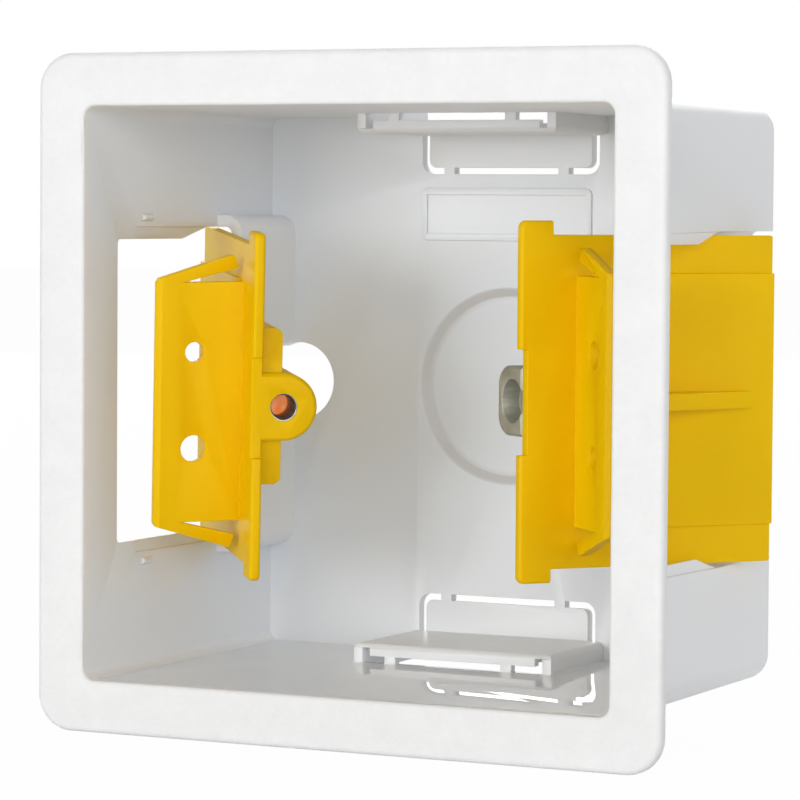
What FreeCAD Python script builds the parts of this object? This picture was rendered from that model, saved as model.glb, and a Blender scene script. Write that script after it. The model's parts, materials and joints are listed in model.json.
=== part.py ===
import FreeCAD, Part
import os
from math import radians, sin, cos
from FreeCAD import Vector

# A flush drywall back box with two swinging lugs that clamp the board.
# X runs to the right, Y into the wall, Z up, in millimetres.
# Y is zero on the back face of the flange, where the box seats on the board.

# Flange
flange_size = 82.0
flange_thick = 1.6
flange_corner = 4.4
flange_round = 0.8
opening_round = 0.45

# Box walls
body_front = 71.4
body_rear = 70.9
body_corner = 3.2
body_depth = 47.0
wall = 1.1
back_wall = 1.5
cavity_corner = 1.4
rear_round = 0.9

# Side slots that the lugs swing through
slot_front = 6.5
lip_half = 18.6
lip_end = 22.8
slot_wide = 29.0
slot_half = 20.1
slot_corner = 0.6
lip_inner_step = 0.3
lip_outer_step = 0.35
rebate_front = 10.9
outer_rebate_half = 19.8
pip_length = 2.6
pip_from_front = 12.2
pip_gap = 0.75
pip_wide = 0.9
pip_rise = 0.45
pip_bevel = 0.35

# Guard walls behind the slots
guard_start = 31.0
channel_start = 35.6
guard_face = 30.9
guard_wall = 1.5
guard_corner = 2.4

# Faceplate screws
screw_centres = 60.3
screw_hole = 10.0

# Cable entries at the top and bottom rear edges
entry_half = 12.4
entry_depth = 2.4
entry_front = 29.4
entry_wall = 1.2
entry_round = 0.8
slit_wide = 1.0
slit_high = 0.8
slit_corner = 1.6
slit_inner_corner = 1.0
panel_height = 4.9
tab_left = -8.55
tab_right = 7.45
tab_wide = 1.5
riser_slit = 0.9

# Round centre knock-out
knock_dia = 25.2
knock_bevel = 1.1
knock_depth = 0.9
knock_groove = 0.8
knock_groove_depth = 0.3

# Bare moulded frame on the back wall
plate_wide = 22.2
plate_high = 5.0
plate_rib = 0.85
plate_rise = 0.3
plate_shift = -0.5
plate_centre = 21.9

# Lug main plate
lug_length = 34.0
slot_clear = 0.45
lug_thick = 1.3
ear_half = 21.3
ear_length = 4.2
lug_corner = 0.9
lug_rear_corner = 0.3
notch_half = 6.2
notch_depth = 0.9
panel_half = 15.1
panel_rise = 0.5
panel_front = 9.4
front_bevel = 0.25

# Lug swing
right_swing_deg = 38.0
left_swing_deg = 40.0
pivot_depth = 30.1
pivot_from_front = 25.6
lug_to_wall = 0.2
left_droop_deg = 4.0

# Clamping wing
wing_from_front = 8.1
wing_lean_deg = 9.5
wing_reach = 11.8
wing_half = 14.8
wing_thick = 1.3
wing_bevel = 0.55
tip_half = 15.3
tip_cut = 0.3
tip_drop = 0.5
arm_span = 18.15
arm_end = 2.0
arm_skew = 0.7
arm_width = 1.6
arm_root = 8.3
arm_round = 0.35
wing_hole_reach = 6.9
small_hole = 2.5
small_hole_z = -6.2
large_hole = 3.3
large_hole_z = 5.7
gusset_thick = 2.0
gusset_reach = 8.4
gusset_rear = 31.0

# Backing pad, boss and threaded insert
pad_half = 9.6
pad_thick = 2.7
pad_front = 2.0
pad_rear = 12.4
pad_corner = 1.0
boss_half = 4.15
boss_length = 9.6
boss_bevel = 0.4
insert_dia = 3.9
insert_bore = 3.1
insert_length = 5.0
insert_sink = 0.4
insert_mouth = 3.4
insert_groove = 0.25
insert_groove_wide = 0.8
insert_floor = 0.3

# Sliding nut and its cage
nut_half = 4.15
nut_reach = 3.8
nut_corner = 2.4
nut_front = 0.95
nut_body = 4.05
nut_mouth = 5.2
nut_mouth_depth = 2.4
nut_bore = 3.1
nut_neck_half = 2.0
nut_foot_half = 3.4
nut_foot = 1.6
nut_travel = 2.2
nut_clear = 0.3
nut_bevel = 0.35
cage_wall = 1.4
cage_front_wall = 1.6

# How far cutting shapes reach past the faces they cut, and the tolerance for picking edges
over = 1.0
near = 1e-4

# Places that follow from the sizes above
wall_slope = (body_front - body_rear) / 2 / body_depth
inner_front = body_front / 2 - wall
inner_rear = body_rear / 2 - wall
floor_depth = body_depth - back_wall
screw_x = screw_centres / 2
pivot_x = inner_front - wall_slope * pivot_depth - lug_to_wall - lug_thick / 2
screw_offset = pivot_x - screw_x
wing_lean = radians(wing_lean_deg)
lug_half = slot_half - slot_clear


def rounded_rect(x0, z0, x1, z1, r, y):
    # A closed wire in a plane across the depth, with equal corner arcs.
    k = r * (1 - cos(radians(45)))
    p = [Vector(x0 + r, y, z0), Vector(x1 - r, y, z0), Vector(x1, y, z0 + r), Vector(x1, y, z1 - r),
         Vector(x1 - r, y, z1), Vector(x0 + r, y, z1), Vector(x0, y, z1 - r), Vector(x0, y, z0 + r)]
    m = [Vector(x1 - k, y, z0 + k), Vector(x1 - k, y, z1 - k), Vector(x0 + k, y, z1 - k),
         Vector(x0 + k, y, z0 + k)]
    edges = []
    for i in range(4):
        a = p[2 * i]
        b = p[2 * i + 1]
        c = p[(2 * i + 2) % 8]
        edges.append(Part.makeLine(a, b))
        edges.append(Part.Arc(b, m[i], c).toShape())
    return Part.Wire(edges)


def square(half, r, y):
    return rounded_rect(-half, -half, half, half, r, y)


def prism(wire, along):
    return Part.Face(wire).extrude(along)


def block(x0, x1, y0, y1, z0, z1):
    return Part.makeBox(x1 - x0, y1 - y0, z1 - z0, Vector(x0, y0, z0))


def polygon(points):
    return Part.makePolygon([Vector(*p) for p in points] + [Vector(*points[0])])


def both_sides(shape):
    # The shape and its copy turned half a turn about the depth axis.
    other = shape.copy()
    other.rotate(Vector(0, 0, 0), Vector(0, 1, 0), 180)
    return [shape, other]


def fillet_where(shape, radius, test):
    edges = [e for e in shape.Edges if test(e)]
    return shape.makeFillet(radius, edges)


def chamfer_where(shape, size, test):
    edges = [e for e in shape.Edges if test(e)]
    return shape.makeChamfer(size, edges)


def on_plane_y(edge, y, inside=None, outside=None):
    b = edge.BoundBox
    flat = abs(b.YMin - y) < near and abs(b.YMax - y) < near
    reach = max(abs(b.XMin), abs(b.XMax), abs(b.ZMin), abs(b.ZMax))
    if inside is not None and reach > inside:
        return False
    if outside is not None and reach < outside:
        return False
    return flat


def shell():
    # Flange and drafted tub, opened from the front.
    flange = prism(square(flange_size / 2, flange_corner, -flange_thick), Vector(0, flange_thick, 0))
    flange = fillet_where(flange, flange_round, lambda e: on_plane_y(e, -flange_thick))
    tub = Part.makeLoft([square(body_front / 2, body_corner, 0),
                         square(body_rear / 2, body_corner, body_depth)], True, True)
    tub = fillet_where(tub, rear_round, lambda e: on_plane_y(e, body_depth))
    mouth = inner_front + wall_slope * flange_thick
    rear = inner_front - wall_slope * floor_depth
    cavity = Part.makeLoft([square(mouth, cavity_corner, -flange_thick),
                            square(rear, cavity_corner, floor_depth)], True, True)
    body = flange.fuse(tub).removeSplitter().cut(cavity)
    return fillet_where(body, opening_round, lambda e: on_plane_y(e, -flange_thick, inside=mouth + 0.1))


def guard():
    # The wall that closes the box behind the right slot, before the channel is cut.
    x0 = guard_face
    z1 = slot_half + guard_wall
    wire = rounded_rect(x0, -z1, inner_rear + wall / 2 + guard_corner, z1, guard_corner, guard_start)
    keep = block(x0, inner_rear + wall / 2, guard_start, floor_depth + back_wall / 2, -z1, z1)
    return prism(wire, Vector(0, floor_depth + back_wall / 2 - guard_start, 0)).common(keep)


def slot_cuts():
    # The channel, the stepped opening and the two rebates of the right side wall.
    far = body_front
    chan_x = guard_face + guard_wall
    r = guard_corner - guard_wall
    outline = rounded_rect(chan_x, -slot_half, far, slot_half, r, guard_start - over)
    hollow = prism(outline, Vector(0, body_depth, 0))
    inside = block(0, inner_rear, guard_start - over, body_depth + over, -far, far)
    behind = block(0, far, channel_start, body_depth + over, -far, far)
    channel = hollow.common(inside.fuse(behind))
    x0 = inner_rear - over
    pts = [(x0, slot_front, -lip_half), (x0, lip_end, -lip_half), (x0, slot_wide, -slot_half),
           (x0, far, -slot_half), (x0, far, slot_half), (x0, slot_wide, slot_half), (x0, lip_end, lip_half),
           (x0, slot_front, lip_half)]
    opening = prism(polygon(pts), Vector(far, 0, 0))
    opening = fillet_where(opening, slot_corner, lambda e: abs(e.BoundBox.YMax - slot_front) < near
                           and e.BoundBox.XLength > 1 and e.BoundBox.ZLength < near)
    lip_in = inner_front - wall_slope * rebate_front + lip_inner_step
    inner = block(x0, lip_in, rebate_front, slot_wide + over, -slot_half, slot_half)
    lip_out = body_front / 2 - wall_slope * slot_wide - lip_outer_step
    y0 = slot_front - over
    y1 = slot_wide + over
    outer = prism(polygon([(lip_out, y0, -outer_rebate_half), (lip_out, y1, -slot_half),
                           (lip_out, y1, slot_half), (lip_out, y0, outer_rebate_half)]), Vector(far, 0, 0))
    return [channel, opening, inner, outer]


def pips():
    # Small rounded catches on the right wall, above and below the slot.
    out = []
    for sign in (1, -1):
        z = sign * (slot_half + pip_gap + pip_wide / 2)
        x = inner_front - wall_slope * pip_from_front
        pip = block(x - pip_rise, x + wall / 2, pip_from_front, pip_from_front + pip_length,
                    z - pip_wide / 2, z + pip_wide / 2)
        face_x = x - pip_rise
        out.append(chamfer_where(pip, pip_bevel, lambda e: abs(e.BoundBox.XMax - face_x) < near))
    return out


def entry_hood():
    # The inward step of the bottom cable entry.
    top = -(inner_rear - entry_depth)
    side = entry_half + entry_wall
    hood = block(-side, side, entry_front, floor_depth + back_wall / 2, -inner_front, top)
    return fillet_where(hood, entry_round, lambda e: abs(e.BoundBox.ZMin - top) < near
                        and e.BoundBox.YMin < floor_depth - 0.1 and e.BoundBox.YMax < body_depth
                        and not (e.BoundBox.YMin > floor_depth))


def entry_cuts():
    # The outside recess of the bottom entry and the slits that free its knock-out.
    top = -(inner_rear - entry_depth)
    recess = block(-entry_half, entry_half, entry_front + entry_wall, body_depth + over,
                   -body_front, top - entry_wall)
    y0 = floor_depth - over
    depth = Vector(0, back_wall + 2 * over, 0)
    z_top = top + panel_height
    low = top - 2 * slit_corner
    frame = prism(rounded_rect(-entry_half, low, entry_half, z_top, slit_corner, y0), depth)
    core_half = entry_half - slit_wide
    core = prism(rounded_rect(-core_half, low - slit_high, core_half, z_top - slit_high, slit_inner_corner, y0),
                 depth)
    below = block(-body_front, body_front, y0 - over, body_depth + 2 * over, low - 2 * over, top)
    frame = frame.cut(core).cut(below)
    riser_low = -(inner_front - wall_slope * entry_front)
    riser = block(-entry_half, entry_half, entry_front - over / 2, entry_front + entry_wall + over / 2,
                  riser_low, riser_low + riser_slit)
    ends = []
    for x in (-entry_half, entry_half - slit_wide):
        ends.append(block(x, x + slit_wide, entry_front - over / 2, entry_front + entry_wall + over / 2,
                          riser_low, top - entry_wall / 2))
    cuts = []
    for piece in [frame, riser.fuse(ends).removeSplitter()]:
        for tab in (tab_left, tab_right):
            bridge = block(tab - tab_wide / 2, tab + tab_wide / 2, 0, body_depth + 2 * over, -body_front, 0)
            piece = piece.cut(bridge)
        cuts.append(piece)
    return [recess] + cuts


def centre_knock_out():
    # A bevelled round recess inside and a shallow ring groove outside.
    r = knock_dia / 2
    recess = Part.makeCone(r, r - knock_bevel, knock_depth, Vector(0, floor_depth, 0), Vector(0, 1, 0))
    ring_out = r - knock_bevel
    at = Vector(0, body_depth - knock_groove_depth, 0)
    ring = Part.makeCylinder(ring_out, knock_groove_depth, at, Vector(0, 1, 0))
    core = Part.makeCylinder(ring_out - knock_groove, knock_groove_depth, at, Vector(0, 1, 0))
    return [recess, ring.cut(core)]


def bare_frame():
    # A low rectangular rib on the inside of the back wall.
    hx = plate_wide / 2
    hz = plate_high / 2
    y = floor_depth - plate_rise
    along = Vector(0, plate_rise + back_wall / 2, 0)
    rim_x = hx + plate_rib
    rim_z = hz + plate_rib
    outer = prism(rounded_rect(plate_shift - rim_x, plate_centre - rim_z, plate_shift + rim_x,
                               plate_centre + rim_z, plate_rib, y), along)
    inner = block(plate_shift - hx, plate_shift + hx, y, y + plate_rise, plate_centre - hz, plate_centre + hz)
    return outer.cut(inner)


def box_body():
    body = shell()
    added = both_sides(guard())
    for pip in pips():
        added += both_sides(pip)
    hood = entry_hood()
    roof = hood.mirror(Vector(0, 0, 0), Vector(0, 0, 1))
    added += [hood, roof, bare_frame()]
    body = body.fuse(added).removeSplitter()
    cuts = []
    for cut in slot_cuts():
        cuts += both_sides(cut)
    for cut in entry_cuts():
        cuts.append(cut)
        cuts.append(cut.mirror(Vector(0, 0, 0), Vector(0, 0, 1)))
    cuts += centre_knock_out()
    for x in (-screw_x, screw_x):
        at = Vector(x, guard_start - over, 0)
        cuts.append(Part.makeCylinder(screw_hole / 2, body_depth, at, Vector(0, 1, 0)))
    return body.cut(cuts).removeSplitter()


def main_plate():
    # Flat plate with ears and a notched front edge, lying along Y with the pivot line at the origin.
    f = -pivot_from_front
    r = f + lug_length
    x = -lug_thick / 2
    up = [(f + notch_depth, notch_half), (f, notch_half), (f, ear_half), (f + ear_length, ear_half),
          (f + ear_length, lug_half), (r, lug_half)]
    low = [(y, -z) for y, z in reversed(up)]
    plate = prism(polygon([(x, y, z) for y, z in up + low]), Vector(lug_thick, 0, 0))

    def corner_at(y):
        def test(e):
            b = e.BoundBox
            through = b.XLength > lug_thick * 0.9 and b.ZLength < near
            return through and abs(b.ZMax) > notch_half + near and abs(b.YMin - y) < near
        return test
    plate = fillet_where(plate, lug_corner, corner_at(f))
    plate = fillet_where(plate, lug_rear_corner, corner_at(r))
    return chamfer_where(plate, front_bevel, lambda e: abs(e.BoundBox.YMax - f) < near
                         and e.BoundBox.ZLength > 2)


def raised_panel():
    y0 = panel_front - pivot_from_front
    y1 = lug_length - pivot_from_front
    return block(0, lug_thick / 2 + panel_rise, y0, y1, -panel_half, panel_half)


def wing():
    # Flat wing with two spring arms, drawn upright from its root and then leaned forward.
    t = wing_thick / 2
    up = [(0, 0), (0, wing_half), (arm_root, wing_half), (arm_end - arm_skew, arm_span - arm_width),
          (arm_end, arm_span), (wing_reach - tip_cut, tip_half), (wing_reach, tip_half - tip_drop),
          (wing_reach, 0)]
    low = [(u, -z) for u, z in reversed(up)][1:-1]
    blade = prism(polygon([(u, -t, z) for u, z in up + low]), Vector(0, wing_thick, 0))

    def sharp(e):
        b = e.BoundBox
        across = b.XLength < near and b.ZLength < near
        ends = abs(b.ZMax) > arm_span - arm_width - 0.1 and b.XMax < arm_end + 0.1
        return across and ends
    blade = fillet_where(blade, arm_round, sharp)
    blade = chamfer_where(blade, wing_bevel, lambda e: abs(e.BoundBox.XMin - wing_reach) < near
                          and e.BoundBox.ZLength > wing_half / 2 and e.BoundBox.YMax < 0)
    for dia, z in ((small_hole, small_hole_z), (large_hole, large_hole_z)):
        at = Vector(wing_hole_reach, -wing_thick, z)
        blade = blade.cut(Part.makeCylinder(dia / 2, wing_thick * 2, at, Vector(0, 1, 0)))
    blade.rotate(Vector(0, 0, 0), Vector(0, 0, 1), -wing_lean_deg)
    blade.translate(Vector(0, wing_from_front - pivot_from_front, 0))
    return blade


def gusset():
    y_wing = wing_from_front - pivot_from_front
    tip = gusset_reach * cos(wing_lean)
    tip_y = y_wing - gusset_reach * sin(wing_lean)
    z = -gusset_thick / 2
    pts = [(0, y_wing, z), (tip, tip_y, z), (lug_thick / 2 + panel_rise, gusset_rear - pivot_from_front, z),
           (0, gusset_rear - pivot_from_front, z)]
    return prism(polygon(pts), Vector(0, 0, gusset_thick))


def pad():
    y0 = pad_front - pivot_from_front
    x0 = -lug_thick / 2 - pad_thick
    body = block(x0, 0, y0, pad_rear - pivot_from_front, -pad_half, pad_half)
    return fillet_where(body, pad_corner, lambda e: abs(e.BoundBox.XMax - x0) < near
                        and (e.BoundBox.ZLength < near))


def d_profile(half, x_flat, y):
    # A D-shaped outline across Y, flat towards the plate and round towards the box middle.
    a = Vector(x_flat, y, -half)
    b = Vector(-screw_offset, y, -half)
    c = Vector(-screw_offset - half, y, 0)
    d = Vector(-screw_offset, y, half)
    e = Vector(x_flat, y, half)
    arc = Part.Arc(b, c, d).toShape()
    return Part.Wire([Part.makeLine(a, b), arc, Part.makeLine(d, e), Part.makeLine(e, a)])


def lug_base():
    body = main_plate().fuse([raised_panel(), wing(), gusset(), pad()])
    return body.removeSplitter()


def boss():
    y = notch_depth - pivot_from_front
    body = prism(d_profile(boss_half, 0, y), Vector(0, boss_length, 0))
    return chamfer_where(body, boss_bevel, lambda e: abs(e.BoundBox.YMin - y) < near
                         and abs(e.BoundBox.YMax - y) < near and e.BoundBox.XMax < -lug_thick / 2 - 0.1)


def insert_hole():
    y = notch_depth - pivot_from_front
    along = Vector(0, 1, 0)
    front = Vector(-screw_offset, y, 0)
    at = Vector(-screw_offset, y + insert_sink, 0)
    bottom = Vector(-screw_offset, y + insert_sink + insert_length - over / 2, 0)
    mouth = Part.makeCylinder(insert_mouth / 2, insert_sink + over / 2, front, along)
    seat = Part.makeCylinder(insert_dia / 2, insert_length, at, along)
    end = Part.makeCylinder(insert_bore / 2, insert_floor + over / 2, bottom, along)
    return mouth.fuse([seat, end])


def insert():
    y = notch_depth + insert_sink - pivot_from_front
    at = Vector(-screw_offset, y, 0)
    body = Part.makeCylinder(insert_dia / 2, insert_length, at, Vector(0, 1, 0))
    y_mid = y + (insert_length - insert_groove_wide) / 2
    mid = Vector(-screw_offset, y_mid, 0)
    band = Part.makeCylinder(insert_dia, insert_groove_wide, mid, Vector(0, 1, 0))
    waist = Part.makeCylinder(insert_dia / 2 - insert_groove, insert_groove_wide, mid, Vector(0, 1, 0))
    bore = Part.makeCylinder(insert_bore / 2, insert_length, at, Vector(0, 1, 0))
    return body.cut(band.cut(waist)).cut(bore)


def nut_levels():
    # Depths of the nut and its cage along the lug, from the front edge of the plate.
    body_end = nut_front + nut_body
    wall_front = body_end + nut_clear
    wall_back = wall_front + cage_front_wall
    foot_front = wall_back + nut_clear
    foot_back = foot_front + nut_foot
    return body_end, wall_front, wall_back, foot_front, foot_back


def nut():
    body_end, wall_front, wall_back, foot_front, foot_back = nut_levels()
    o = -pivot_from_front
    flat = -lug_thick / 2 - nut_clear
    end = -screw_offset - nut_reach
    head = block(end, flat, o + nut_front, o + body_end, -nut_half, nut_half)
    head = fillet_where(head, nut_corner, lambda e: abs(e.BoundBox.XMax - end) < near
                        and e.BoundBox.ZLength < near)
    head = chamfer_where(head, nut_bevel, lambda e: abs(e.BoundBox.YMin - o - nut_front) < near
                         and abs(e.BoundBox.YMax - o - nut_front) < near)
    n = nut_neck_half
    neck = block(-screw_offset - n, -screw_offset + n, o + body_end - nut_body / 2,
                 o + foot_front + nut_foot / 2, -n, n)
    f = nut_foot_half
    foot_x1 = min(-screw_offset + f, flat)
    foot = block(-screw_offset - f, foot_x1, o + foot_front, o + foot_back, -f, f)
    body = head.fuse([neck, foot]).removeSplitter()
    bore = Part.makeCylinder(nut_bore / 2, foot_back, Vector(-screw_offset, o, 0), Vector(0, 1, 0))
    mouth = Part.makeCylinder(nut_mouth / 2, nut_mouth_depth, Vector(-screw_offset, o + nut_front, 0),
                              Vector(0, 1, 0))
    return body.cut([bore, mouth])


def cage():
    # Housing on the plate that holds the foot of the nut and lets it slide up and down.
    body_end, wall_front, wall_back, foot_front, foot_back = nut_levels()
    o = -pivot_from_front
    f = nut_foot_half
    n = nut_neck_half
    c = nut_clear
    x_in = -screw_offset - f - c
    back = foot_back + c
    body = block(x_in - cage_wall, 0, o + wall_front, o + back + cage_wall, -pad_half, pad_half)
    body = fillet_where(body, pad_corner, lambda e: abs(e.BoundBox.XMax - x_in + cage_wall) < near
                        and e.BoundBox.ZLength < near)
    room = block(x_in, -lug_thick / 2, o + wall_back, o + back, -f - nut_travel - c, f + nut_travel + c)
    gate = block(-screw_offset - n - c, -screw_offset + n + c, o + wall_front - over, o + wall_back + over,
                 -n - nut_travel - c, n + nut_travel + c)
    clear = block(-body_front, -lug_thick / 2, o - over, o + wall_front, -body_front, body_front)
    at = Vector(-screw_offset, o, 0)
    screw = Part.makeCylinder(nut_bore / 2 + c, back + cage_wall, at, Vector(0, 1, 0))
    return body, [clear, room, gate, screw]


def place(shape, side):
    # Stored pose: swung in about the pivot, then set on the right or turned over to the left.
    # The left lug also hangs down a little at its front, as a loose lug does.
    shape = shape.copy()
    if side < 0:
        shape.rotate(Vector(0, 0, 0), Vector(1, 0, 0), -left_droop_deg)
    swing = left_swing_deg if side < 0 else right_swing_deg
    shape.rotate(Vector(0, 0, 0), Vector(0, 0, 1), -swing)
    shape.translate(Vector(pivot_x, pivot_depth, 0))
    if side < 0:
        shape.rotate(Vector(0, 0, 0), Vector(0, 1, 0), 180)
    return shape


def main():
    os.makedirs("parts", exist_ok=True)
    left = lug_base().fuse(boss()).removeSplitter().cut(insert_hole())
    cage_body, cage_cuts = cage()
    right = lug_base().fuse(cage_body).removeSplitter().cut(cage_cuts)
    solids = {
        "box_body": box_body(),
        "left_lug": place(left, -1),
        "left_insert": place(insert(), -1),
        "right_lug": place(right, 1),
        "right_nut": place(nut(), 1),
    }
    for name, shape in solids.items():
        if len(shape.Solids) == 1:
            shape = shape.Solids[0]
        print(name, shape.ShapeType, len(shape.Solids), shape.isValid(), round(shape.Volume, 1), shape.BoundBox)
        shape.exportStep("parts/" + name + ".step")


main()
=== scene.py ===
import json
import math
import bmesh
import bpy
from mathutils import Matrix, Vector


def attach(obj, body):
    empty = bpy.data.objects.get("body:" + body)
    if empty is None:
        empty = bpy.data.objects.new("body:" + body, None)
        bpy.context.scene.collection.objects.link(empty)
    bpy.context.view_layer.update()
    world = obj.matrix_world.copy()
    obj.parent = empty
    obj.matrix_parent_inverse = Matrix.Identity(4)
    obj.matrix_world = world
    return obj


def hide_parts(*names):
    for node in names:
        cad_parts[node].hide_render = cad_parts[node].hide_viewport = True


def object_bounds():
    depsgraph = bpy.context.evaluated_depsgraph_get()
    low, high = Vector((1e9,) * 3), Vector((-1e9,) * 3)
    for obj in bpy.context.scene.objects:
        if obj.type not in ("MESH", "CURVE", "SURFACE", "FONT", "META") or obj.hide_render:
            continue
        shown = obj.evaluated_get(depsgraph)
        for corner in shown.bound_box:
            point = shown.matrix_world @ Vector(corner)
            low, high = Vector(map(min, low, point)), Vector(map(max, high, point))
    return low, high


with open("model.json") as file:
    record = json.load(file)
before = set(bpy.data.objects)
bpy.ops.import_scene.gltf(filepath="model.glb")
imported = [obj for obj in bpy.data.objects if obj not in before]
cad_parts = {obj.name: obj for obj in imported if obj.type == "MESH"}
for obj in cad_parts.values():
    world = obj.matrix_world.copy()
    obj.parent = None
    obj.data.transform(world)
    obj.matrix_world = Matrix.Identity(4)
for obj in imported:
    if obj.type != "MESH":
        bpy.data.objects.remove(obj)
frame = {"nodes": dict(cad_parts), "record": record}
cad_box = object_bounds()
scene = bpy.context.scene
scene.view_settings.view_transform = "Standard"


# Node helpers

def new_material(name):
    material = bpy.data.materials.new(name)
    material.use_nodes = True
    tree = material.node_tree
    tree.nodes.clear()
    output = tree.nodes.new("ShaderNodeOutputMaterial")
    return material, tree, output


def new_finish(name):
    # A material with one surface shader, and the place on the piece that its patterns read.
    material, tree, output = new_material(name)
    shader = add_node(tree, "ShaderNodeBsdfPrincipled")
    join(tree, shader.outputs["BSDF"], output.inputs["Surface"])
    place = add_node(tree, "ShaderNodeTexCoord").outputs["Object"]
    return material, tree, shader, place


def add_node(tree, kind, **values):
    made = tree.nodes.new(kind)
    for key, value in values.items():
        setattr(made, key, value)
    return made


def join(tree, source, target):
    tree.links.new(source, target)


def settle(made, values):
    # Sets sockets that keep one value all over the surface.
    for name, value in values.items():
        made.inputs[name].default_value = value


def feed(tree, value, socket):
    # A number or a colour is set on the socket, and another node's output is joined to it.
    if isinstance(value, tuple):
        socket.default_value = (*value, 1.0)
    elif isinstance(value, float):
        socket.default_value = value
    else:
        join(tree, value, socket)


def grain(tree, place, scale, detail, roughness=0.55):
    noise = add_node(tree, "ShaderNodeTexNoise")
    settle(noise, {"Scale": scale, "Detail": detail, "Roughness": roughness})
    join(tree, place, noise.inputs["Vector"])
    return noise.outputs["Fac"]


def split(tree, vector):
    axes = add_node(tree, "ShaderNodeSeparateXYZ")
    join(tree, vector, axes.inputs["Vector"])
    return axes.outputs["X"], axes.outputs["Y"], axes.outputs["Z"]


def remap(tree, value, low, high, to_low, to_high):
    made = add_node(tree, "ShaderNodeMapRange")
    join(tree, value, made.inputs["Value"])
    settle(made, {"From Min": low, "From Max": high, "To Min": to_low, "To Max": to_high})
    return made.outputs["Result"]


def fade(tree, value, none, full):
    # Nought at the first value and before it, one at the second and past it.
    return remap(tree, value, none, full, 0.0, 1.0)


def blend_colours(tree, factor, first, second):
    # The mix node repeats its socket names, so the colour sockets are taken by number.
    made = add_node(tree, "ShaderNodeMix", data_type="RGBA")
    feed(tree, factor, made.inputs[0])
    feed(tree, first, made.inputs[6])
    feed(tree, second, made.inputs[7])
    return made.outputs[2]


def blend_values(tree, factor, first, second):
    made = add_node(tree, "ShaderNodeMix", data_type="FLOAT")
    feed(tree, factor, made.inputs[0])
    feed(tree, first, made.inputs[2])
    feed(tree, second, made.inputs[3])
    return made.outputs[0]


def combine(tree, operation, first, second):
    made = add_node(tree, "ShaderNodeMath", operation=operation)
    join(tree, first, made.inputs[0])
    join(tree, second, made.inputs[1])
    return made.outputs["Value"]


def both(tree, first, second):
    return combine(tree, "MULTIPLY", first, second)


def either(tree, first, second):
    return combine(tree, "MAXIMUM", first, second)


def absolute(tree, value):
    made = add_node(tree, "ShaderNodeMath", operation="ABSOLUTE")
    join(tree, value, made.inputs[0])
    return made.outputs["Value"]


def across(tree, place):
    # Distance from the depth axis through the middle of the box.
    flat = add_node(tree, "ShaderNodeVectorMath", operation="MULTIPLY")
    join(tree, place, flat.inputs[0])
    flat.inputs[1].default_value = (1.0, 0.0, 1.0)
    length = add_node(tree, "ShaderNodeVectorMath", operation="LENGTH")
    join(tree, flat.outputs["Vector"], length.inputs[0])
    return length.outputs["Value"]


def raise_surface(tree, height, distance, strength, below=None):
    made = add_node(tree, "ShaderNodeBump")
    settle(made, {"Strength": strength, "Distance": distance})
    join(tree, height, made.inputs["Height"])
    if below is not None:
        join(tree, below, made.inputs["Normal"])
    return made.outputs["Normal"]


# Finishes. Each pair below says where a zone of the box starts to show and where it shows in full.

flange_back = (-0.0012, 0.0006)
back_wall_depth = (0.036, 0.04)
turned_forward = (-0.25, -0.45)
floor_height = (-0.0334, -0.0338)
turned_up = (0.97, 0.995)
left_wall_place = (-0.0334, -0.0338)
turned_right = (0.8, 0.95)
# The last two pairs bound the painted shade ring round the knock-out.
ring_shade_inner_edge = (0.0108, 0.0117)
ring_shade_outer_edge = (0.0127, 0.0123)


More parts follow.
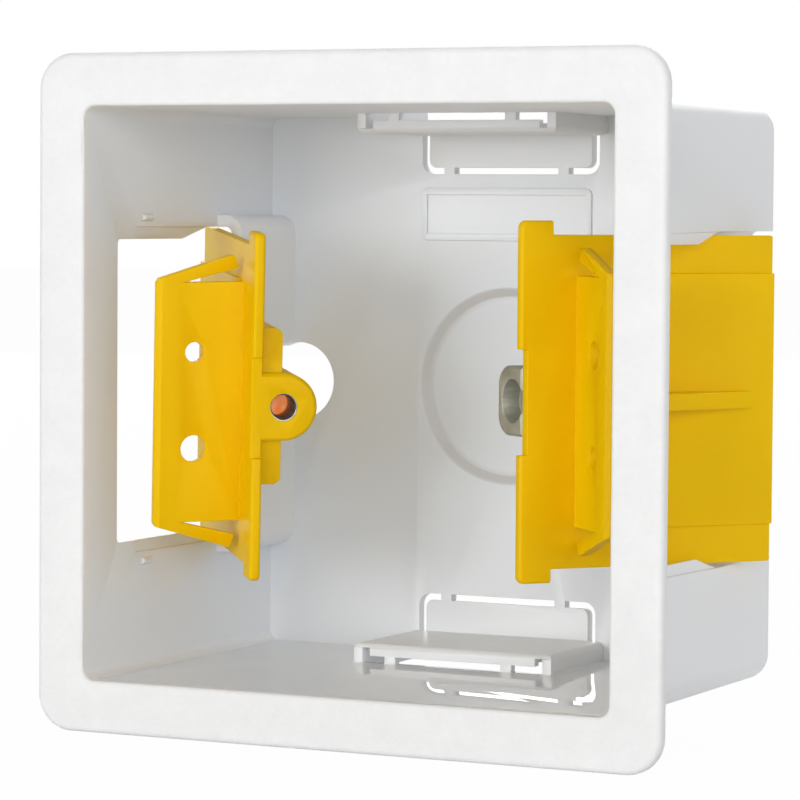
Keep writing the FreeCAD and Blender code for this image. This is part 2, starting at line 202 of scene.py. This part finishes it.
def white_moulding():
    # Matt eroded flange, satin walls behind it, a polished floor, a painted cool tint inside that
    # cancels the warm light bounced off the yellow lugs, and a painted shade ring round the knock-out.
    material, tree, shader, place = new_finish("white_moulding")
    x, y, z = split(tree, place)
    normal = add_node(tree, "ShaderNodeNewGeometry").outputs["True Normal"]
    facing_x, facing_y, facing_z = split(tree, normal)
    cloud = grain(tree, place, 45.0, 2.0)
    patches = grain(tree, place, 300.0, 3.0)
    speckle = grain(tree, place, 1300.0, 3.0, 0.6)
    mottle = blend_values(tree, 0.4, patches, speckle)

    behind = fade(tree, y, *flange_back)
    back_wall = both(tree, fade(tree, y, *back_wall_depth), fade(tree, facing_y, *turned_forward))
    floor = both(tree, fade(tree, z, *floor_height), fade(tree, facing_z, *turned_up))
    left_wall = both(tree, fade(tree, x, *left_wall_place), fade(tree, facing_x, *turned_right))
    # Painted cool tint: the inside faces get a bluer white, strongest at mid height by the lugs, to
    # cancel the warm light bounced off the yellow lugs.
    middle = remap(tree, absolute(tree, z), 0.012, 0.03, 1.0, 0.3)
    painted_tint_zone = both(tree, either(tree, either(tree, back_wall, floor), left_wall), middle)
    # Painted shade: a darker ring round the knock-out stands in for the shade in its moulded step.
    radius = across(tree, place)
    ring = both(tree, fade(tree, radius, *ring_shade_inner_edge), fade(tree, radius, *ring_shade_outer_edge))
    ring_shade_zone = both(tree, back_wall, ring)

    flange_white = blend_colours(tree, mottle, (0.79, 0.792, 0.795), (0.935, 0.935, 0.933))
    shell_white = blend_colours(tree, cloud, (0.828, 0.842, 0.862), (0.852, 0.865, 0.882))
    # Painted cool tint that stands in against the warm bounce light from the yellow lugs.
    painted_cool_tint = blend_colours(tree, cloud, (0.785, 0.84, 0.915), (0.81, 0.863, 0.935))
    # Painted shade colour for the ring round the knock-out.
    painted_ring_shade = blend_colours(tree, cloud, (0.66, 0.675, 0.705), (0.7, 0.715, 0.745))
    walls = blend_colours(tree, painted_tint_zone, shell_white, painted_cool_tint)
    walls = blend_colours(tree, ring_shade_zone, walls, painted_ring_shade)
    join(tree, blend_colours(tree, behind, flange_white, walls), shader.inputs["Base Color"])

    matt = remap(tree, speckle, 0.2, 0.8, 0.5, 0.68)
    satin = remap(tree, cloud, 0.3, 0.7, 0.36, 0.44)
    polished = remap(tree, cloud, 0.3, 0.7, 0.012, 0.022)
    smooth = blend_values(tree, floor, satin, polished)
    join(tree, blend_values(tree, behind, matt, smooth), shader.inputs["Roughness"])

    eroded = blend_values(tree, behind, speckle, 0.5)
    surface = raise_surface(tree, cloud, 0.0001, 0.008)
    surface = raise_surface(tree, eroded, 0.00008, 0.6, surface)
    join(tree, surface, shader.inputs["Normal"])
    settle(shader, {"IOR": 1.49, "Subsurface Weight": 0.1, "Subsurface Scale": 0.0006,
                    "Subsurface Radius": (1.0, 1.0, 1.0)})
    return material


def yellow_moulding():
    # Satin, slightly see-through yellow plastic.
    material, tree, shader, place = new_finish("yellow_moulding")
    cloud = grain(tree, place, 90.0, 2.0)
    fine = grain(tree, place, 1900.0, 2.0)
    colour = blend_colours(tree, cloud, (0.835, 0.51, 0.0), (0.9, 0.57, 0.0))
    join(tree, colour, shader.inputs["Base Color"])
    join(tree, remap(tree, fine, 0.2, 0.8, 0.36, 0.5), shader.inputs["Roughness"])
    surface = raise_surface(tree, cloud, 0.0001, 0.12)
    surface = raise_surface(tree, fine, 0.00003, 0.35, surface)
    join(tree, surface, shader.inputs["Normal"])
    settle(shader, {"IOR": 1.5, "Specular IOR Level": 0.1, "Subsurface Weight": 0.3,
                    "Subsurface Scale": 0.0008, "Subsurface Radius": (1.0, 0.6, 0.1)})
    return material


def bare_metal(name, light, dark, smoothest, roughest):
    # Stained metal with fine tool or casting marks.
    material, tree, shader, place = new_finish(name)
    marks = grain(tree, place, 2600.0, 4.0)
    stain = fade(tree, grain(tree, place, 420.0, 3.0), 0.3, 0.7)
    join(tree, blend_colours(tree, stain, dark, light), shader.inputs["Base Color"])
    join(tree, remap(tree, marks, 0.3, 0.7, smoothest, roughest), shader.inputs["Roughness"])
    join(tree, raise_surface(tree, marks, 0.00004, 0.35), shader.inputs["Normal"])
    settle(shader, {"Metallic": 1.0})
    return material


def backlit_skin():
    # Thin yellow plastic at the end of the bore, with a painted glow that stands in for the light coming
    # through it from behind.
    material, tree, shader, place = new_finish("backlit_skin")
    cloud = grain(tree, place, 900.0, 2.0)
    glow = fade(tree, cloud, 0.35, 0.65)
    colour = blend_colours(tree, glow, (0.85, 0.2, 0.02), (0.9, 0.33, 0.15))
    join(tree, colour, shader.inputs["Base Color"])
    join(tree, colour, shader.inputs["Emission Color"])
    join(tree, remap(tree, cloud, 0.2, 0.8, 0.4, 0.6), shader.inputs["Roughness"])
    join(tree, raise_surface(tree, cloud, 0.00005, 0.3), shader.inputs["Normal"])
    # Painted glow: the emission stands in for light shining through the skin from behind.
    settle(shader, {"Emission Strength": 0.5})
    return material


def seen_directly(tree):
    # One for rays that show the background: straight, mirrored or through glass.
    path = add_node(tree, "ShaderNodeLightPath").outputs
    mirrored = either(tree, path["Is Camera Ray"], path["Is Glossy Ray"])
    return either(tree, mirrored, path["Is Transmission Ray"])


def pale_floor():
    # White to the camera with a faint shadow left in.
    material, tree, output = new_material("pale_floor")
    matt = add_node(tree, "ShaderNodeBsdfDiffuse")
    settle(matt, {"Color": (0.85, 0.85, 0.85, 1.0)})
    white = add_node(tree, "ShaderNodeEmission")
    settle(white, {"Strength": 1.0})
    part = add_node(tree, "ShaderNodeMixShader")
    settle(part, {"Fac": 0.98})
    join(tree, matt.outputs["BSDF"], part.inputs[1])
    join(tree, white.outputs["Emission"], part.inputs[2])
    shown = add_node(tree, "ShaderNodeMixShader")
    join(tree, seen_directly(tree), shown.inputs["Fac"])
    join(tree, matt.outputs["BSDF"], shown.inputs[1])
    join(tree, part.outputs["Shader"], shown.inputs[2])
    join(tree, shown.outputs["Shader"], output.inputs["Surface"])
    return material


# Pieces from shapes

def make_piece(name, shape, material):
    mesh = bpy.data.meshes.new(name)
    shape.to_mesh(mesh)
    shape.free()
    mesh.materials.append(material)
    piece = bpy.data.objects.new(name, mesh)
    scene.collection.objects.link(piece)
    return piece


def shade_smooth(shape):
    for face in shape.faces:
        face.smooth = True


# Mouldings with eased edges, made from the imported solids

weld_distance = 0.000002
flat_angle = math.radians(0.4)
sharp_angle = math.radians(35)


def eased_moulding(name, node, body, material, ease):
    solid = bmesh.new()
    solid.from_mesh(frame["nodes"][node].data)
    bmesh.ops.remove_doubles(solid, verts=solid.verts, dist=weld_distance)
    bmesh.ops.dissolve_limit(solid, angle_limit=flat_angle, verts=solid.verts, edges=solid.edges)
    shade_smooth(solid)
    piece = make_piece(name, solid, material)
    edge = piece.modifiers.new("eased_edges", "BEVEL")
    edge.width = ease
    edge.segments = 2
    edge.limit_method = "ANGLE"
    edge.angle_limit = sharp_angle
    edge.use_clamp_overlap = False
    edge.harden_normals = True
    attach(piece, body)
    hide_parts(node)


# Screw threads in the insert and the nut

thread_pitch = 0.0006
thread_wall = 0.00156
thread_crest = 0.00141
thread_profile = ((thread_wall, -0.4), (thread_crest, -0.07), (thread_crest, 0.07), (thread_wall, 0.4))
steps_per_turn = 28


def mount_place(name):
    mount = next(m for m in frame["record"]["mounts"] if m["name"] == name)
    turn = Vector(mount["axis"]).to_track_quat("Z", "Y").to_matrix().to_4x4()
    place = Matrix.Translation(Vector(mount["pos_m"])) @ turn
    return place, mount["dims"]["length_mm"] / 1000.0


def screw_thread(name, mount, body, material):
    # A triangular ridge wound up the wall of the bore, with its faces turned to the axis.
    place, length = mount_place(mount)
    turns = int((length - thread_pitch) / thread_pitch)
    start = -thread_pitch * turns / 2
    thread = bmesh.new()
    points = [thread.verts.new((r, 0.0, start + z * thread_pitch)) for r, z in thread_profile]
    edges = [thread.edges.new(pair) for pair in zip(points, points[1:])]
    bmesh.ops.spin(thread, geom=points + edges, cent=(0, 0, 0), axis=(0, 0, 1),
                   angle=2 * math.pi * turns, steps=steps_per_turn * turns,
                   dvec=(0, 0, thread_pitch / steps_per_turn), use_merge=False)
    shade_smooth(thread)
    thread.normal_update()
    thread.faces.ensure_lookup_table()
    middle = thread.faces[len(thread.faces) // 2]
    centre = middle.calc_center_median()
    if middle.normal.dot(Vector((centre.x, centre.y, 0))) > 0:
        bmesh.ops.reverse_faces(thread, faces=thread.faces)
    bmesh.ops.transform(thread, matrix=place, verts=thread.verts)
    piece = make_piece(name, thread, material)
    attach(piece, body)


# Skin at the end of the insert's bore

skin_radius = 0.0015
skin_gap = 0.0001
skin_dish = 0.0001
skin_rings = 3
skin_segments = 40


def blind_end(name, mount, body, material):
    # A shallow dished skin that closes the bore just behind the insert.
    place, length = mount_place(mount)
    depth = length / 2 + skin_gap
    skin = bmesh.new()
    bmesh.ops.create_circle(skin, cap_ends=True, segments=skin_segments, radius=skin_radius)
    middle = skin.faces[:]
    for _ in range(skin_rings):
        bmesh.ops.inset_individual(skin, faces=middle, thickness=skin_radius / (skin_rings + 1),
                                   depth=-skin_dish / skin_rings, use_even_offset=True)
    shade_smooth(skin)
    bmesh.ops.translate(skin, vec=(0, 0, -depth), verts=skin.verts)
    bmesh.ops.transform(skin, matrix=place, verts=skin.verts)
    piece = make_piece(name, skin, material)
    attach(piece, body)


# Camera, lights and floor

photo_pixels = 800.0
focal_pixels = 3728.8
sensor_mm = 36.0
camera_degrees = (26.602, 2.918, 0.403)
camera_place = (0.20048, -0.38561, 0.02241)

aim = Vector((0.0, 0.02, 0.0))
softboxes = (
    ("left_softbox", (-0.25, -0.72, 0.06), 0.3, 2.35),
    ("front_softbox", (0.2, -0.8, 0.05), 0.5, 1.6),
    ("right_softbox", (0.65, -0.75, 0.1), 0.6, 3.3),
    ("side_softbox", (0.9, 0.0, 0.2), 0.6, 1.5),
    ("top_softbox", (0.0, 0.25, 0.8), 0.7, 1.6),
    ("rear_softbox", (-0.45, 0.95, 0.4), 0.8, 5.0),
)
fill_strength = 0.2
shown_strength = 1.0
floor_reach = 3.0
floor_gap = 0.0002


def photo_camera():
    data = bpy.data.cameras.new("photo_camera")
    data.sensor_width = sensor_mm
    data.lens = sensor_mm * focal_pixels / photo_pixels
    data.clip_start = 0.01
    data.clip_end = 20.0
    camera = bpy.data.objects.new("photo_camera", data)
    yaw, pitch, roll = (math.radians(degrees) for degrees in camera_degrees)
    ahead = Vector((-math.sin(yaw) * math.cos(pitch), math.cos(yaw) * math.cos(pitch), -math.sin(pitch)))
    level = ahead.cross(Vector((0, 0, 1))).normalized()
    upright = level.cross(ahead)
    right = math.cos(roll) * level + math.sin(roll) * upright
    up = math.cos(roll) * upright - math.sin(roll) * level
    turn = Matrix((right, up, -ahead)).transposed().to_4x4()
    camera.matrix_world = Matrix.Translation(camera_place) @ turn
    scene.collection.objects.link(camera)
    scene.camera = camera


def softbox(name, place, size, watts):
    data = bpy.data.lights.new(name, "AREA")
    data.shape = "SQUARE"
    data.size = size
    data.energy = watts
    lamp = bpy.data.objects.new(name, data)
    lamp.location = place
    lamp.rotation_euler = (aim - Vector(place)).to_track_quat("-Z", "Y").to_euler()
    scene.collection.objects.link(lamp)


def white_room():
    # A dim even light that shows as plain white behind the box.
    world = bpy.data.worlds.new("studio")
    scene.world = world
    world.use_nodes = True
    tree = world.node_tree
    tree.nodes.clear()
    dim = add_node(tree, "ShaderNodeBackground")
    settle(dim, {"Color": (1.0, 1.0, 1.0, 1.0), "Strength": fill_strength})
    white = add_node(tree, "ShaderNodeBackground")
    settle(white, {"Color": (1.0, 1.0, 1.0, 1.0), "Strength": shown_strength})
    mixed = add_node(tree, "ShaderNodeMixShader")
    join(tree, seen_directly(tree), mixed.inputs["Fac"])
    join(tree, dim.outputs["Background"], mixed.inputs[1])
    join(tree, white.outputs["Background"], mixed.inputs[2])
    output = add_node(tree, "ShaderNodeOutputWorld")
    join(tree, mixed.outputs["Shader"], output.inputs["Surface"])


def studio():
    for name, place, size, watts in softboxes:
        softbox(name, place, size, watts)
    white_room()
    sheet = bmesh.new()
    bmesh.ops.create_grid(sheet, x_segments=2, y_segments=2, size=floor_reach)
    bmesh.ops.translate(sheet, vec=(0, 0, cad_box[0].z - floor_gap), verts=sheet.verts)
    make_piece("studio_floor", sheet, pale_floor())


# The box, its two lugs, the insert and the nut

box_ease = 0.00007
lug_ease = 0.0001
metal_ease = 0.00008


def back_box():
    white = white_moulding()
    yellow = yellow_moulding()
    steel = bare_metal("turned_steel", (0.44, 0.43, 0.41), (0.32, 0.31, 0.3), 0.28, 0.42)
    zinc = bare_metal("cast_zinc", (0.43, 0.43, 0.365), (0.34, 0.34, 0.28), 0.55, 0.7)
    eased_moulding("box_moulding", "box_body", "box", white, box_ease)
    eased_moulding("left_lug_moulding", "left_lug", "left_lug", yellow, lug_ease)
    eased_moulding("right_lug_moulding", "right_lug", "right_lug", yellow, lug_ease)
    eased_moulding("insert_sleeve", "left_insert", "left_lug", steel, metal_ease)
    eased_moulding("sliding_nut", "right_nut", "right_nut", zinc, metal_ease)
    screw_thread("insert_thread", "left_screw", "left_lug", steel)
    blind_end("insert_blind_end", "left_screw", "left_lug", backlit_skin())
    screw_thread("nut_thread", "right_screw", "right_nut", zinc)


photo_camera()
studio()
back_box()
